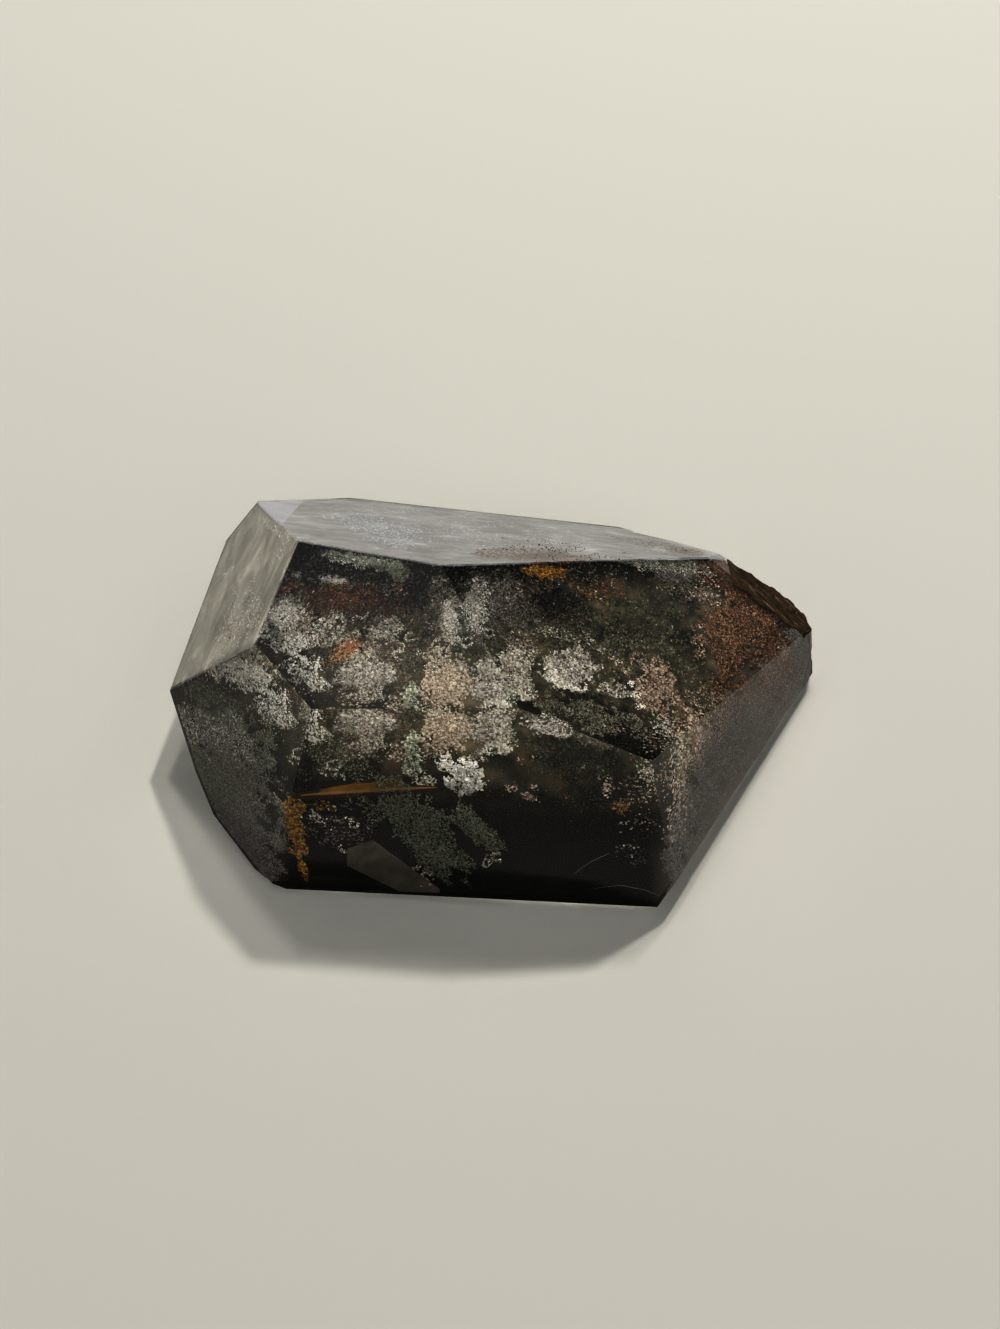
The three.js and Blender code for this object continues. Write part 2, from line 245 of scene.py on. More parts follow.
# Fine clouds that hang in the clear quartz, by facet: pixel column and row, half length and half
# width, turn, kind, cover, and the least and largest depth behind the facet in mm, which is
# about 0 for a stain on it
CLOUDS = [
    ("left table", [
        (335, 556, 26, 6, 4, "haze", 1, 0.8, 1.8), (378, 562, 26, 8, 8, "haze", 1.2, 0.8, 1.8),
        (398, 571, 12, 9, 40, "haze", 1, 0.8, 1.8), (352, 560, 44, 9, 6, "fog", 0.35, 0.8, 1.8),
        (285, 614, 26, 18, -30, "fog", 0.6, 0.8, 2.5),
        (302, 640, 26, 12, -25, "fog", 0.4, 0.8, 2.5), (450, 616, 9, 25, -4, "fog", 0.6, 0.8, 2.5),
        (336, 580, 20, 3, 8, "fog", 0.6, 0.8, 1.8), (297, 575, 8, 4, 40, "fog", 0.4, 0.8, 1.8),
        (350, 595, 50, 14, -4, "brown", 0.8, 0.8, 2), (290, 588, 16, 7, -20, "brown", 0.8, 0.8, 2),
        (396, 590, 16, 12, 20, "rust", 0.35, 0.8, 2),
    ]),
    ("right table", [
        (500, 612, 46, 46, 0, "dusk", 0.5, 1, 4), (662, 564, 42, 6, 4, "haze", 1.6, 0.8, 1.8),
        (664, 568, 34, 8, 10, "fog", 0.4, 0.8, 1.8), (672, 574, 26, 7, 12, "dusk", 1.6, 0.8, 1.8),
        (664, 570, 32, 7, 6, "grey", 0.45, 0.8, 1.8), (690, 590, 44, 14, 16, "taupe", 0.7, 0.8, 2),
        (700, 594, 34, 10, 18, "cream", 0.3, 0.8, 2), (548, 571, 26, 8, 4, "gold", 1.8, 0.8, 1.6),
    ]),
    ("left table", [
        (436, 600, 12, 28, 10, "taupe", 0.6, 0.8, 2.5),
    ]),
    ("right table", [
        (478, 606, 16, 30, 0, "fog", 0.5, 0.8, 2.5), (590, 596, 22, 6, 30, "gold", 0.2, 0.8, 1.6),
        (584, 714, 70, 18, 16, "haze", 0.5, 1.2, 4), (590, 716, 70, 18, 16, "taupe", 0.9, 1.2, 4),
        (560, 700, 50, 12, 14, "brown", 0.25, 2, 6),
    ]),
    ("back slope", [
        (480, 535, 220, 24, 6, "mist", 0.15, 0.25, 0.45),
        (372, 526, 54, 11, 10, "mist", 0.8, 0.25, 0.45),
        (396, 544, 30, 6, 20, "mist", 0.8, 0.25, 0.45),
        (530, 555, 60, 7, 3, "brown", 2.4, 0.2, 0.45),
        (560, 550, 90, 12, 8, "stain", 0.08, -0.02, 0.03),
        (640, 541, 64, 6, 10, "rust", 0.5, 0.2, 0.45),
        (684, 551, 20, 3.5, 9, "brown", 3, 0.2, 0.45),
    ]),
    ("left shoulder", [
        (246, 612, 44, 22, -60, "fog", 0.4, 0.25, 0.45),
        (240, 628, 28, 12, -30, "cream", 0.35, 0.2, 0.45),
        (281, 548, 18, 6, -66, "fog", 0.5, 0.25, 0.45),
        (272, 528, 16, 4, 45, "fog", 0.6, 0.25, 0.45),
        (228, 572, 8, 3, -50, "fog", 1, 0.25, 0.45),
    ]),
    ("front", [
        (425, 832, 74, 30, 50, "shade", 0.9, 0.8, 2.4),
        (436, 858, 40, 16, 50, "shade", 0.6, 0.8, 2.4),
        (476, 828, 42, 15, 45, "shade", 0.9, 0.8, 2.4), (474, 824, 30, 9, 45, "haze", 0.6, 0.8, 2),
        (395, 812, 60, 14, 12, "shade", 0.5, 0.8, 2.4), (340, 760, 50, 26, 15, "haze", 0.3, 1, 3),
        (548, 728, 24, 7, 20, "fog", 0.6, 0.8, 2), (607, 786, 7, 12, 0, "cream", 0.5, 1, 2.5),
        (646, 778, 6, 11, 0, "cream", 0.4, 1, 2.5), (624, 806, 15, 10, -10, "rust", 0.6, 1, 2.5),
        (622, 808, 11, 7, -10, "gold", 0.5, 1, 2.5), (575, 757, 52, 15, 10, "moss", 0.5, 1, 3),
        (560, 768, 40, 10, 0, "olive", 0.4, 1, 3), (545, 750, 20, 5, 10, "taupe", 0.5, 1, 3),
    ]),
    ("front left", [
        (225, 735, 60, 30, 25, "haze", 1.2, 1, 3), (222, 732, 50, 26, 25, "fog", 0.35, 0.6, 1.5),
        (196, 730, 44, 12, 62, "cream", 0.2, 0.6, 1.5),
        (232, 670, 36, 13, 12, "fog", 0.8, 0.8, 2.2),
        (222, 676, 26, 10, 12, "cream", 0.35, 0.8, 2.2),
        (214, 775, 44, 22, 60, "shade", 0.9, 0.6, 1.8), (246, 676, 38, 17, 24, "fog", 0.35, 1, 2.5),
        (275, 704, 26, 20, 40, "fog", 0.35, 1, 2.5), (225, 715, 60, 26, 25, "shade", 0.7, 1, 3),
        (225, 800, 80, 50, 60, "dusk", 1, 1, 3), (225, 790, 80, 56, 60, "haze", 0.5, 1, 3),
        (252, 845, 50, 26, 55, "dusk", 1.2, 0.5, 1.2), (279, 830, 5, 26, 5, "haze", 0.9, 1.5, 3),
    ]),
    ("front", [
        (293, 811, 13, 14, 0, "gold", 1.6, 0.4, 0.9), (297, 832, 9, 18, -14, "gold", 1.6, 0.4, 0.9),
        (298, 850, 11, 10, -10, "gold", 1.6, 0.4, 0.9),
        (303, 868, 6, 18, -16, "gold", 1.6, 0.4, 0.9),
        (296, 835, 13, 44, -12, "rust", 0.3, 0.9, 1.4), (318, 806, 16, 7, 0, "gold", 0.4, 1, 3),
    ]),
    ("front right", [
        (690, 760, 26, 60, 32, "pink", 0.25, 1, 3), (679, 803, 13, 46, 6, "cream", 0.9, 0.5, 1.5),
        (745, 725, 96, 32, -52, "dusk", 1.3, 0.6, 1.8),
        (800, 640, 24, 9, 90, "dusk", 1.5, 0.4, 1.2),
        (704, 800, 60, 20, -65, "dusk", 1, 0.6, 1.8),
        (681, 830, 52, 13, -80, "dusk", 1.6, 0.5, 1.5),
    ]),
    ("front", [
        (425, 874, 13, 8, 30, "cream", 0.5, 2, 3), (494, 855, 13, 12, 0, "taupe", 0.4, 2, 4),
    ]),
    ("front right", [
        (786, 655, 6, 12, 20, "pink", 0.4, 1, 2), (788, 688, 4, 12, 10, "pink", 0.25, 1, 2),
    ]),
]

# Veils of haze close under a facet: the facet, its upper and lower edge in pixels, the depth in
# mm, the turn of the streaks about the vertical, and the colours
VEILS = {
    "top_veil": (
        "back slope",
        [(259, 502), (350, 499), (380, 500), (440, 506), (500, 514), (618, 528), (673, 542), (724, 555)],
        [(259, 504), (297, 540), (444, 565), (600, 560), (724, 557)],
        0.6, 4, ["424242", "5b5b5a", "747473", "9b9b9b"],
    ),
    "light_corner": (
        "back slope",
        [(258, 501), (303, 499)],
        [(258, 503), (282, 525), (303, 501)],
        0.35, 4, ["707073", "7c7c80", "88888b", "98989b"],
    ),
    "shoulder_veil": (
        "left shoulder",
        [(170, 686), (178, 664), (222, 551), (227, 537), (257, 501), (296, 540)],
        [(170, 688), (254, 645), (296, 542)],
        0.5, 71, ["4d4b44", "636158", "7c796f", "9f9b8f"],
    ),
    "foot_panel": (
        "front",
        [(347, 849), (373, 840), (440, 889)],
        [(347, 866), (400, 892), (440, 893)],
        0.7, 30, ["2d2b26", "39362f", "45423a", "555249"],
    ),
}
VEIL_COLUMNS, VEIL_ROWS = 60, 16
VEIL_THICKNESS = 0.15 * MM
VEIL_MARGIN = 0.15 * MM

# The lengths of the streaks of colour in veils and slivers: along, across and upright
STREAK_SIZE = (6.5 * MM, 2.6 * MM, 4 * MM)

# The rough crust on the natural skin, between an upper and a lower line in pixels
CRUST_UPPER = [(727, 555), (736, 565), (752, 573), (775, 588), (790, 599), (804, 615), (812, 629)]
CRUST_LOWER = [
    (727, 561), (733, 580), (741, 587), (752, 594), (762, 604),
    (776, 612), (786, 622), (797, 628), (806, 636), (812, 640),
]
CRUST_COLUMNS, CRUST_ROWS = 100, 14
CRUST_DEPTH = 0.1 * MM
CRUST_TURN = -42
CRUST_COLOURS = ["0c0b09", "17150f", "241b14", "47423a"]
CRUST_STREAKS = (1.8 * MM, 0.6 * MM, 1 * MM)

# Flat slivers inside the front facet: start and end pixel, how far they bulge up and down in
# pixels, depth in mm, and the colours
SLIVERS = {
    "amber_band": ((291, 798), (441, 790), 8, 2, 2, ["160e07", "2a1b0c", "3f2a13"]),
    "amber_lens": ((318, 795), (406, 789), 9, 1, 1.6, ["43300e", "6d4f17", "926c24"]),
    "amber_edge": ((300, 796), (438, 788), 3, 0, 1.3, ["4f3c24", "755d3c", "8d7350"]),
    "red_line": ((292, 799), (436, 791), 1.4, 1.4, 1.1, ["120806", "2b0f0a", "40180e"]),
}
SLIVER_COLUMNS, SLIVER_ROWS = 60, 5
SLIVER_THICKNESS = 0.1 * MM
SLIVER_TURN = 4

# Small curls that thread grains are strung along, by the facet they are seen through: centre
# and radius in pixels, and start and length of the arc
CURLS = {
    "left table": [
        (395, 647, 8, 200, 230), (410, 637, 5, 0, 300), (402, 655, 7, 90, 200),
        (445, 642, 6, 180, 240), (440, 656, 9, 20, 160), (455, 640, 5, 300, 220),
        (362, 610, 8, 20, 110), (335, 573, 14, 30, 130), (348, 580, 10, 20, 120),
    ],
    "right table": [
        (461, 631, 4, 0, 320), (469, 640, 5, 60, 330), (489, 633, 5, 0, 340),
        (457, 654, 5, 200, 290), (573, 576, 9, 200, 80),
    ],
    "front": [
        (334, 765, 6, 0, 300), (327, 772, 5, 90, 220), (339, 778, 5, 200, 200),
        (355, 822, 6, 40, 180), (345, 848, 5, 60, 160), (314, 818, 5, 250, 180),
        (418, 872, 6, 0, 300), (428, 876, 5, 60, 280), (425, 884, 5, 300, 240),
        (487, 863, 4, 0, 330), (497, 857, 5, 20, 300),
    ],
}

# Scars and cracks as fine pale threads, which paint the light lines that the cracks reflect: facet,
# pixels along them, depth in mm, radius in mm
CRACK_REFLECTION_COLOURS = ["6c675b", "857d70", "9d8f82"]
THREADS = [
    ("front", [(574, 874), (590, 862), (610, 853)], 1.5, 0.03),
    ("front", [(590, 889), (620, 885), (645, 890), (660, 896)], 1.5, 0.03),
    ("front left", [(246, 744), (262, 752), (275, 760)], 1, 0.05),
]

# Grains strewn over the bed: kind, how many, size of its drifts, how thin they are, and how far
# back they start if that isn't at the front edge
STREWN = [
    ("moss", 9000, 5 * MM, -0.2),
    ("olive", 5000, 4 * MM, 0),
    ("brown", 5000, 6 * MM, 0.05),
    ("grey", 1200, 4 * MM, 0.25),
    ("grey", 3500, 5 * MM, 0.1, 17 * MM),
    ("white", 4500, 5 * MM, 0.2, 17 * MM),
    ("cream", 1000, 5 * MM, 0.35, 14 * MM),
    ("violet", 2000, 4 * MM, 0.2),
]

# The stage: a plain floor, just under the foot, and the room's even light
FLOOR_SIZE = 3
FLOOR_DROP = 0.06 * MM
FLOOR_COLOUR = "d8d5cc"
ROOM_COLOUR = (0.93, 0.97, 1.0, 1)
ROOM_STRENGTH = 0.2

# Lamps: place, size, power in watts, and colour. All point at the stone.
LAMPS = {
    "key": ((0.235, 0.52, 0.825), 0.05, 2.8, (1, 0.98, 0.95)),
    "back": ((0.07, 0.54, 0.9), 0.08, 1.5, (1, 0.98, 0.95)),
    "soft": ((0.2, 0.14, 0.87), 0.8, 27, (1, 0.97, 0.98)),
    "fill": ((-0.3, -0.45, 0.75), 0.8, 8, (1, 0.97, 0.98)),
    "ceiling": ((-0.25, 0.45, 1.15), 1.2, 1.45, (1, 0.99, 0.97)),
}
LAMP_TARGET = Vector((0, 0, 0.01))
UNSEEN_INSIDE = ("key", "back")
NOT_MIRRORED = ("key", "back", "soft", "fill")
STONE_LAMPS = ("soft", "fill")

rng = np.random.default_rng(7)
LATTICES = rng.random((12, 64, 64)) * 2 - 1


def linear(code):
    """The linear colour of an sRGB hex code."""
    values = [int(code[i : i + 2], 16) / 255 for i in (0, 2, 4)]
    return [v / 12.92 if v <= 0.04045 else ((v + 0.055) / 1.055) ** 2.4 for v in values] + [1]


def between(grid, i, j, k, m, a, b):
    """The value at shares a and b of the way from columns i to k and from rows j to m."""
    near = grid[i, j] * (1 - a) + grid[k, j] * a
    far = grid[i, m] * (1 - a) + grid[k, m] * a
    return near * (1 - b) + far * b


def lumps(x, y, size, layer):
    """Smooth random lumps of about this size, from -1 to 1."""
    u, v = x / size + 500.3, y / size + 500.7
    i, j = np.floor(u).astype(int), np.floor(v).astype(int)
    a, b = u - i, v - j
    a, b = a * a * (3 - 2 * a), b * b * (3 - 2 * b)
    lattice = LATTICES[layer]
    i, j, k, m = i % 64, j % 64, (i + 1) % 64, (j + 1) % 64
    return between(lattice, i, j, k, m, a, b)


def blend(value, low, high):
    """A smooth step from 0 at low to 1 at high."""
    t = np.clip((value - low) / (high - low), 0, 1)
    return t * t * (3 - 2 * t)


def even_grid(columns, rows):
    """Shares along and across, row by row."""
    along, across = np.meshgrid(np.linspace(0, 1, columns), np.linspace(0, 1, rows))
    return along.ravel(), across.ravel()


def add_object(name, data):
    thing = bpy.data.objects.new(name, data)
    bpy.context.collection.objects.link(thing)
    return thing


def surface_tree(node):
    """A search tree of a mesh object's surface."""
    mesh = node.data
    return BVHTree.FromPolygons([v.co for v in mesh.vertices], [p.vertices for p in mesh.polygons])


# Camera

def add_camera():
    data = bpy.data.cameras.new("camera")
    data.sensor_fit = "HORIZONTAL"
    data.sensor_width = SENSOR
    data.lens = SENSOR * PHOTO_FOCAL / PHOTO_WIDTH
    data.clip_start = NEAREST_SEEN
    camera = add_object("camera", data)
    camera.location = CAMERA_PLACE
    camera.rotation_euler = (math.radians(90 - CAMERA_DOWN), 0, 0)
    bpy.context.scene.camera = camera


# Sight lines through the stone

class Facets:
    """The flat facets of the stone, each with its outward normal and its distance from the origin."""

    def __init__(self, node):
        flats = {}
        for polygon in node.data.polygons:
            flats.setdefault(tuple(round(c, 2) for c in polygon.normal), []).append(polygon)
        flats = [polygons for polygons in flats.values() if sum(p.area for p in polygons) > LEAST_FACET]
        largest = [max(polygons, key=lambda p: p.area) for polygons in flats]
        self.normals = np.array([p.normal for p in largest])
        self.reaches = np.array([p.normal.dot(p.center) for p in largest])

    def inside(self, points, margin=GRAIN_MARGIN):
        """The points moved in until each lies a margin behind every facet."""
        for _ in range(3):
            for normal, reach in zip(self.normals, self.reaches):
                over = points @ normal - (reach - margin)
                points = points - np.clip(over, 0, None)[:, None] * normal
        return points

    def roof(self, x, y):
        """The height of the stone's upper side over each place."""
        upper = self.normals[:, 2] > TURNED_TO_SIDE
        flats = zip(self.normals[upper], self.reaches[upper])
        return np.min([(reach - n[0] * x - n[1] * y) / n[2] for n, reach in flats], axis=0)

    def depth_under_tables(self, points):
        """How far each point lies behind the nearer of the two flattest facets."""
        flattest = np.argsort(-self.normals[:, 2])[:2]
        return np.min(self.reaches[flattest] - points @ self.normals[flattest].T, axis=1)

    def entered(self, line):
        """The facet by which a sight line enters: the last whose plane it crosses from outside."""
        slopes = self.normals @ line
        gaps = self.reaches - self.normals @ np.array(CAMERA_PLACE)
        distances = np.where(slopes < 0, gaps / slopes, -1)
        return np.argmax(distances)


def sight_lines(px, py):
    """The directions in which the camera sees these pixels of the photograph."""
    down = math.radians(CAMERA_DOWN)
    forward = np.array([0, math.cos(down), -math.sin(down)])
    right = np.array([1, 0, 0])
    up = np.cross(right, forward)
    lines = forward + np.outer((px - PHOTO_WIDTH / 2) / PHOTO_FOCAL, right)
    lines -= np.outer((py - PHOTO_HEIGHT / 2) / PHOTO_FOCAL, up)
    return lines / np.linalg.norm(lines, axis=1, keepdims=True)


def refract(lines, normal, ratio):
    """Directions bent at a flat by the ratio of the refractive indices before and behind it."""
    cosine = -(lines @ normal)
    root = np.sqrt(1 - ratio * ratio * (1 - cosine * cosine))
    return ratio * lines + (ratio * cosine - root)[:, None] * normal


def inside_rays(facets, px, py, through):
    """Where these pixels' sight lines enter the stone and how they run on inside."""
    index = facets.entered(sight_lines(*np.array([SEEN_THROUGH[through]], float).T)[0])
    normal, reach = facets.normals[index], facets.reaches[index]
    lines = sight_lines(px, py)
    origin = np.array(CAMERA_PLACE)
    distance = (reach - origin @ normal) / (lines @ normal)
    return origin + distance[:, None] * lines, refract(lines, normal, 1 / QUARTZ_IOR)


# Garden bed

class Hill:
    """The height of the CAD garden over an even grid of the ground."""

    def __init__(self, node, spacing=0.5 * MM):
        self.spacing = spacing
        self.middle = HILL_COLUMNS // 2, HILL_ROWS // 2
        across, deep = [range(-half, half) for half in self.middle]
        starts = [Vector((i * spacing, j * spacing, OVER_ALL)) for i in across for j in deep]
        tree = surface_tree(node)
        tops = [tree.ray_cast(start, Vector((0, 0, -1)))[0] for start in starts]
        heights = [0 if top is None else top.z for top in tops]
        self.heights = np.array(heights).reshape(HILL_COLUMNS, HILL_ROWS)

    def height(self, x, y):
        u = np.clip(x / self.spacing + self.middle[0], 0, HILL_COLUMNS - 1.1)
        v = np.clip(y / self.spacing + self.middle[1], 0, HILL_ROWS - 1.1)
        i, j = u.astype(int), v.astype(int)
        return between(self.heights, i, j, i + 1, j + 1, u - i, v - j)


def bed_top(facets, hill, x, y):
    """The height of the bed over each place: the hill with its lumps, or the low sheet."""
    rough = sum(share * lumps(x, y, size, layer) for layer, (size, share) in enumerate(BED_LUMPS))
    rough *= HILL_ROUGHNESS
    wander = 0.5 * rough
    level = hill.height(x + wander, y + wander)
    level = np.where(level > HILL_FOOT, level + rough, level)
    grit = GRIT_HEIGHT * lumps(x, y, GRIT_SIZE, 3) * blend(level, GRIT_FROM, GRIT_FULL)
    level = np.maximum(level, SHEET_HEIGHT)
    return np.minimum(level, facets.roof(x, y) - ROOF_GAP + 0.3 * rough) + grit


def bed_span(facets, x):
    """The front and back edge of the bed at each x."""
    edges = []
    for side, level in ((-1, FRONT_EDGE_LEVEL), (1, BACK_EDGE_LEVEL)):
        facing_it = facets.normals[:, 1] * side > TURNED_TO_SIDE
        flats = zip(facets.normals[facing_it], facets.reaches[facing_it])
        edges.append([(reach - WALL_GAP - n[0] * x - n[2] * level) / n[1] for n, reach in flats])
    front, back = np.max(edges[0], axis=0), np.min(edges[1], axis=0)
    return front, np.maximum(back, front + LEAST_BED_DEPTH)


def bed_place(facets, along, across):
    """The place on the ground for shares of the bed's length and of its depth."""
    x = BED_LEFT + (BED_RIGHT - BED_LEFT) * along
    front, back = bed_span(facets, x)
    return x, front + (back - front) * across


def add_bed(facets, hill):
    x, y = bed_place(facets, *even_grid(BED_COLUMNS, BED_ROWS))
    bottom = np.full(len(x), FLOOR_GAP)
    top = np.maximum(bed_top(facets, hill, x, y), bottom + LEAST_BED_HEIGHT)
    upper = facets.inside(np.stack([x, y, top], 1))
    lower = facets.inside(np.stack([x, y, bottom], 1))
    return add_sheet("garden_bed", upper, lower, BED_ROWS, bed_material(), smooth=True)


class BedMap:
    """The bed's height over an even grid of the ground, for finding where rays meet it."""

    def __init__(self, facets, hill):
        self.spacing = MAP_SPACING * MM
        self.corner = np.array([-MAP_REACH_X * MM, -MAP_REACH_Y * MM])
        columns = np.arange(-MAP_REACH_X, MAP_REACH_X, MAP_SPACING) * MM
        rows = np.arange(-MAP_REACH_Y, MAP_REACH_Y, MAP_SPACING) * MM
        x, y = np.meshgrid(columns, rows, indexing="ij")
        front, back = bed_span(facets, x)
        within = (y > front) & (y < back) & (x > BED_LEFT) & (x < BED_RIGHT)
        self.heights = np.where(within, bed_top(facets, hill, x, y), 0)

    def height(self, x, y):
        i = np.clip(((x - self.corner[0]) / self.spacing).astype(int), 0, self.heights.shape[0] - 1)
        j = np.clip(((y - self.corner[1]) / self.spacing).astype(int), 0, self.heights.shape[1] - 1)
        return self.heights[i, j]

    def meet(self, entry, direction):
        """Where rays inside the stone first meet the bed, and which of them do."""
        place = entry.copy()
        found = np.zeros(len(entry), bool)
        for _ in range(RAY_STEPS):
            found |= place[:, 2] < self.height(place[:, 0], place[:, 1])
            place[~found] += RAY_STEP * direction[~found]
        return place, found & (place[:, 2] > FLOOR_GAP)


# Grains

# A six-sided grain, and a four-sided one for kinds up to a largest radius in mm
LUMP = 1.1 * np.array([(1, 0, 0), (-0.5, 0.87, 0), (-0.5, -0.87, 0), (0, 0, 1), (0, 0, -1)])
LUMP_SIDES = np.array([(0, 1, 3), (1, 2, 3), (2, 0, 3), (1, 0, 4), (2, 1, 4), (0, 2, 4)])
SPECK = 0.7 * np.array([(1, 1, 1), (-1, -1, 1), (-1, 1, -1), (1, -1, -1)])
SPECK_SIDES = np.array([(0, 1, 3), (0, 3, 2), (0, 2, 1), (1, 2, 3)])
LARGEST_SPECK = 0.15


def random_turns(count):
    """Random rotation matrices, from random unit quaternions."""
    w, x, y, z = rng.normal(size=(count, 4)).T
    size = np.sqrt(w * w + x * x + y * y + z * z)
    w, x, y, z = w / size, x / size, y / size, z / size
    rows = [
        [1 - 2 * (y * y + z * z), 2 * (x * y - z * w), 2 * (x * z + y * w)],
        [2 * (x * y + z * w), 1 - 2 * (x * x + z * z), 2 * (y * z - x * w)],
        [2 * (x * z - y * w), 2 * (y * z + x * w), 1 - 2 * (x * x + y * y)],
    ]
    return np.moveaxis(np.array(rows), -1, 0)


def grain_mesh(places, least, largest):
    """Small crooked grains about each place."""
    count = len(places)
    corners, sides = (SPECK, SPECK_SIDES) if largest <= LARGEST_SPECK else (LUMP, LUMP_SIDES)
    shapes = corners * rng.uniform(0.7, 1.25, (count, len(corners), 1))
    shapes += rng.normal(0, 0.13, (count, len(corners), 3))
    shapes *= rng.uniform(0.7, 1.3, (count, 1, 3))
    shapes = shapes @ random_turns(count)
    sizes = least + (largest - least) * rng.random(count) ** 1.6
    points = places[:, None, :] + shapes * (sizes * MM)[:, None, None]
    faces = sides[None] + len(corners) * np.arange(count)[:, None, None]
    return points.reshape(-1, 3), faces.reshape(-1, 3)


def oval_pixels(radius, column, row, length, width, turn):
    """Pixels in a turned oval, at these shares of its radius and at random angles."""
    angle = rng.uniform(0, 2 * np.pi, len(radius))
    along, aside = radius * np.cos(angle) * length, radius * np.sin(angle) * width
    lean = math.radians(turn)
    px = along * math.cos(lean) - aside * math.sin(lean)
    py = along * math.sin(lean) + aside * math.cos(lean)
    return px + column, py + row


def cluster_grains(facets, bed_map, through, column, row, length, width, turn, cover, layers=1):
    """Places of the grains of one cluster that the photograph shows, thinned to a lacy rim."""
    tries = int(cover * length * width * CLUSTER_DENSITY * (1 + 0.3 * (layers - 1)))
    radius = np.sqrt(rng.random(tries))
    px, py = oval_pixels(radius, column, row, length, width, turn)
    lace = lumps(px, py, 7, 5) + 0.8 * lumps(px, py, 3, 6)
    kept = lace > 2.4 * radius**2 - 1 - 0.6 * min(cover, 1)
    kept &= np.abs(lumps(px, py, 11, 9)) > CREVICE
    px, py, radius = px[kept], py[kept], radius[kept]
    entry, direction = inside_rays(facets, px, py, through)
    places, found = bed_map.meet(entry, direction)
    places, direction, radius = places[found], direction[found], radius[found]
    rise = (layers - 0.7) * GRAIN_LAYER * (1 - radius**2) * rng.random(len(radius)) ** 0.6
    return facets.inside(places - rise[:, None] * direction)


def cloud_grains(facets, through, column, row, length, width, turn, kind, cover, near, far):
    """Places of the grains of one cloud that hangs behind a facet, thinned to streaks."""
    size = GRAIN_KINDS[kind][2] / USUAL_GRAIN
    count = int(cover * length * width * CLOUD_DENSITY / size**2)
    radius = rng.random(count) ** 0.6
    px, py = oval_pixels(radius, column, row, length, width, turn)
    if through == "back slope":
        streak = lumps(2.5 * py, px / 3, 9, 5) + 0.6 * lumps(2 * py, px / 4, 4, 6)
    else:
        streak = lumps(px - py, (px + py) / 3, 9, 5) + 0.6 * lumps(px, py, 4, 6)
    kept = streak > 1.6 * radius**2 - 0.7 - 0.5 * cover
    entry, direction = inside_rays(facets, px[kept], py[kept], through)
    depth = rng.uniform(near, far, len(entry)) * MM
    places = facets.inside(entry + depth[:, None] * direction, min(near * MM, CLOUD_MARGIN))
    if kind == "mist":
        places = places[facets.depth_under_tables(places) > MIST_GAP]
    return places


def curl_grains(facets, bed_map, through, column, row, radius, start, sweep):
    """Places of grains strung along a small arc just over the bed."""
    count = int(radius * math.radians(sweep) * CURL_DENSITY)
    angle = np.radians(start + sweep * rng.random(count))
    wide = radius * (1 + 0.15 * np.sin(2.3 * angle + column)) + rng.normal(0, 0.9, count)
    px, py = column + wide * np.cos(angle), row + 0.85 * wide * np.sin(angle)
    entry, direction = inside_rays(facets, px, py, through)
    places, found = bed_map.meet(entry, direction)
    rise = rng.uniform(0.3, 0.6, count) * MM
    return facets.inside(places - rise[:, None] * direction)[found]


def strewn_grains(facets, hill, count, drift, thin, nearest=-30 * MM):
    """Places of grains strewn over the bed in drifts."""
    x, y = bed_place(facets, rng.random(count), rng.random(count))
    layer = rng.integers(7, 12)
    kept = lumps(x, y, drift, layer) + 0.5 * lumps(x, y, drift / 3, layer - 3) > thin
    x, y = x[kept], y[kept]
    on_hill = (hill.height(x, y) > HILL_FOOT) & (y > nearest)
    x, y = x[on_hill], y[on_hill]
    z = bed_top(facets, hill, x, y)
    return facets.inside(np.stack([x, y, z], 1))


def add_grains(facets, hill, bed_map):
    places = {kind: [] for kind in GRAIN_KINDS}
    for through, clusters in CLUSTERS.items():
        for cluster in clusters:
            oval, kind, heap = cluster[:5], cluster[5], cluster[6:]
            places[kind].append(cluster_grains(facets, bed_map, through, *oval, *heap))
    for through, curls in CURLS.items():
        for curl in curls:
            places["thread"].append(curl_grains(facets, bed_map, through, *curl))
    for through, clouds in CLOUDS:
        for cloud in clouds:
            places[cloud[5]].append(cloud_grains(facets, through, *cloud))
    for kind, *strewn in STREWN:
        places[kind].append(strewn_grains(facets, hill, *strewn))
    pieces = []
    for kind, (colours, least, largest) in GRAIN_KINDS.items():
        grains = grain_mesh(np.vstack(places[kind]), least, largest)
        pieces.append(add_mesh(kind + "_grains", *grains, grain_material(kind, colours)))
    return pieces


# Veils, slivers, crust and threads

def add_sheet(name, front, back, rows, material, smooth=False):
    """A thin closed sheet whose two sides are grids of points in this many rows."""
    count = len(front)
    index = np.arange(count).reshape(rows, -1)
    upper = np.stack([index[:-1, :-1], index[:-1, 1:], index[1:, 1:], index[1:, :-1]], -1).reshape(-1, 4)
    rim = np.concatenate([index[0, :], index[1:, -1], index[-1, -2::-1], index[-2:0:-1, 0]])
    after = np.roll(rim, -1)
    wall = np.stack([rim, rim + count, after + count, after], -1)
    points, faces = np.vstack([front, back]), np.vstack([upper, upper[:, ::-1] + count, wall])
    return add_mesh(name, points, faces, material, smooth)


def grid_between(upper, lower, columns, rows):
    """Pixels in even rows from an upper to a lower line."""
    along, across = even_grid(columns, rows)
    px = upper[0][0] + (upper[-1][0] - upper[0][0]) * along
    top, bottom = [np.interp(px, *np.array(line, float).T) for line in (upper, lower)]
    return px, top + (bottom - top) * across


